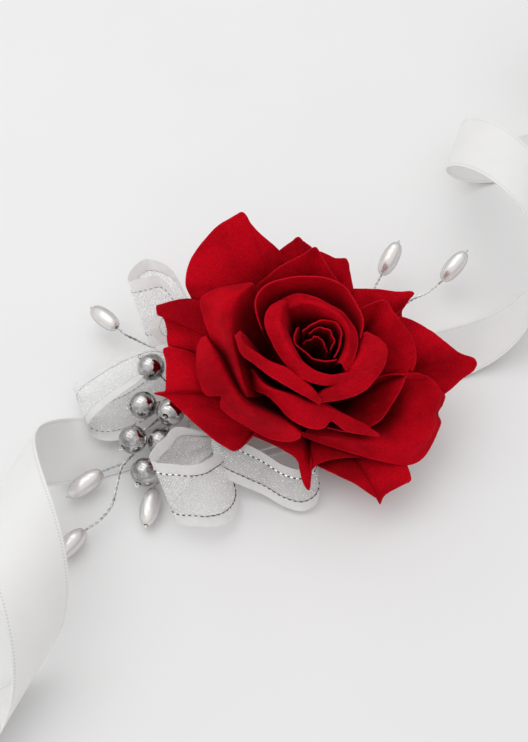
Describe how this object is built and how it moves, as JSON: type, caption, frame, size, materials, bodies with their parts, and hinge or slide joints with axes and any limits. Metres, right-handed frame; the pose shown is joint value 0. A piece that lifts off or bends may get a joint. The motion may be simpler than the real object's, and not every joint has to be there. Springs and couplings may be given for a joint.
{
  "type": "wrist corsage",
  "caption": "Wrist corsage: a fabric rose on a felt backing with sheer ribbon loops, silver beads and pearl drops, tied on by a satin ribbon with curled tails.",
  "frame": {"origin": "centre of the lower felt's underside, where the corsage lies on the wrist", "axes": "+X along the ribbon towards the right tail, +Z out of the wrist through the rose, +Y across the ribbon away from the viewer"},
  "size_m": [0.3227, 0.2884, 0.0546],
  "materials": {
    "petal": "soft velvet-like crimson cloth",
    "satin": "white satin with picot edges",
    "organza": "sheer silver-white organza with satin edges",
    "silver_bead": "bright silver plating",
    "wire": "twisted silver wire",
    "pearl": "pearl coat",
    "felt": "white felt",
    "glue": "set hot glue",
    "leaf": "moulded green",
    "tape": "crinkled floral tape"
  },
  "bodies": {
    "corsage": {"felt_under": "felt", "ribbon_band": "satin", "felt_over": "felt", "receptacle": "leaf", "petal_core": "petal", "petal_heart_in": "petal", "petal_heart_right": "petal", "petal_heart_left": "petal", "petal_bud_right": "petal", "petal_bud_left": "petal", "petal_wrap_top": "petal", "petal_wrap_right": "petal", "petal_wrap_left": "petal", "petal_mid_low": "petal", "petal_mid_right": "petal", "petal_mid_top": "petal", "petal_mid_left": "petal", "petal_mid_low_left": "petal", "petal_mid_low_right": "petal", "petal_outer_low_right": "petal", "petal_outer_top_left": "petal", "petal_outer_left": "petal", "petal_outer_right": "petal", "petal_outer_low_front": "petal", "petal_outer_top_right": "petal", "petal_outer_top": "petal", "petal_outer_right_high": "petal", "petal_outer_low_left": "petal", "petal_outer_low": "petal", "calyx": "leaf", "stem_wrap": "tape", "organza_knot": "organza", "glue_pad": "glue", "silver_bead_back": "silver_bead", "silver_bead_upper": "silver_bead", "silver_bead_inner": "silver_bead", "silver_bead_left": "silver_bead", "silver_bead_low": "silver_bead", "silver_bead_hidden": "silver_bead", "bead_wire": "wire", "organza_high": "organza", "organza_left": "organza", "organza_front_left": "organza", "organza_front": "organza", "organza_small": "organza"},
    "tail_left": {"ribbon_tail_left": "satin"},
    "tail_right": {"ribbon_tail_right": "satin"},
    "stem_back_left": {"pearl_stem_back_left": "wire"},
    "drop_back_left": {"pearl_back_left": "pearl"},
    "stem_front_left": {"pearl_stem_front_left": "wire"},
    "drop_front_left": {"pearl_front_left": "pearl"},
    "stem_back_right": {"pearl_stem_back_right": "wire"},
    "drop_back_right": {"pearl_back_right": "pearl"},
    "stem_far_right": {"pearl_stem_far_right": "wire"},
    "drop_far_right": {"pearl_far_right": "pearl"},
    "stem_left": {"pearl_stem_left": "wire"},
    "drop_left_near": {"pearl_left_near": "pearl"},
    "drop_left_far": {"pearl_left_far": "pearl"}
  },
  "joints": [
    {"name": "tail_left_hinge", "type": "hinge", "parent": "corsage", "child": "tail_left", "pos_m": [-0.0305, 0.0016, 0.0017], "axis": [0, -1, 0], "range_deg": [0, 85]},
    {"name": "tail_right_hinge", "type": "hinge", "parent": "corsage", "child": "tail_right", "pos_m": [0.0305, 0.0016, 0.0017], "axis": [0, 1, 0], "range_deg": [0, 85]},
    {"name": "stem_back_left_swivel", "type": "hinge", "parent": "corsage", "child": "stem_back_left", "pos_m": [-0.02675, 0.0096, 0.0064], "axis": [0, 0, 1], "range_deg": [-3, 9]},
    {"name": "pearl_back_left_spin", "type": "hinge", "parent": "stem_back_left", "child": "drop_back_left", "pos_m": [-0.0442, 0.0384, 0.0088], "axis": [-0.4825, 0.875, -0.0386], "continuous": true},
    {"name": "stem_front_left_swivel", "type": "hinge", "parent": "corsage", "child": "stem_front_left", "pos_m": [-0.02675, 0.0064, 0.006], "axis": [0, 0, 1], "range_deg": [-2, 5]},
    {"name": "pearl_front_left_spin", "type": "hinge", "parent": "stem_front_left", "child": "drop_front_left", "pos_m": [-0.0473, -0.018, 0.0035], "axis": [-0.4358, -0.9, -0.0095], "continuous": true},
    {"name": "stem_back_right_swivel", "type": "hinge", "parent": "corsage", "child": "stem_back_right", "pos_m": [0.02075, 0.0094, 0.008], "axis": [0, 0, 1], "range_deg": [-12, 12]},
    {"name": "pearl_back_right_spin", "type": "hinge", "parent": "stem_back_right", "child": "drop_back_right", "pos_m": [0.0434, 0.0322, 0.0095], "axis": [0.643, 0.5144, 0.5674], "continuous": true},
    {"name": "stem_far_right_swivel", "type": "hinge", "parent": "corsage", "child": "stem_far_right", "pos_m": [0.02075, 0.0066, 0.0066], "axis": [0, 0, 1], "range_deg": [-12, 10]},
    {"name": "pearl_far_right_spin", "type": "hinge", "parent": "stem_far_right", "child": "drop_far_right", "pos_m": [0.0622, 0.025, 0.008], "axis": [0.7569, 0.3135, 0.5734], "continuous": true},
    {"name": "stem_left_swivel", "type": "hinge", "parent": "corsage", "child": "stem_left", "pos_m": [-0.02675, 0.008, 0.0056], "axis": [0, 0, 1], "range_deg": [-2, 3]},
    {"name": "pearl_left_near_spin", "type": "hinge", "parent": "stem_left", "child": "drop_left_near", "pos_m": [-0.0603, -0.0092, 0.0056], "axis": [-0.9332, -0.3408, -0.1136], "continuous": true},
    {"name": "pearl_left_far_spin", "type": "hinge", "parent": "stem_left", "child": "drop_left_far", "pos_m": [-0.0693, -0.0255, 0.0042], "axis": [-0.8582, -0.513, -0.0187], "continuous": true}
  ]
}
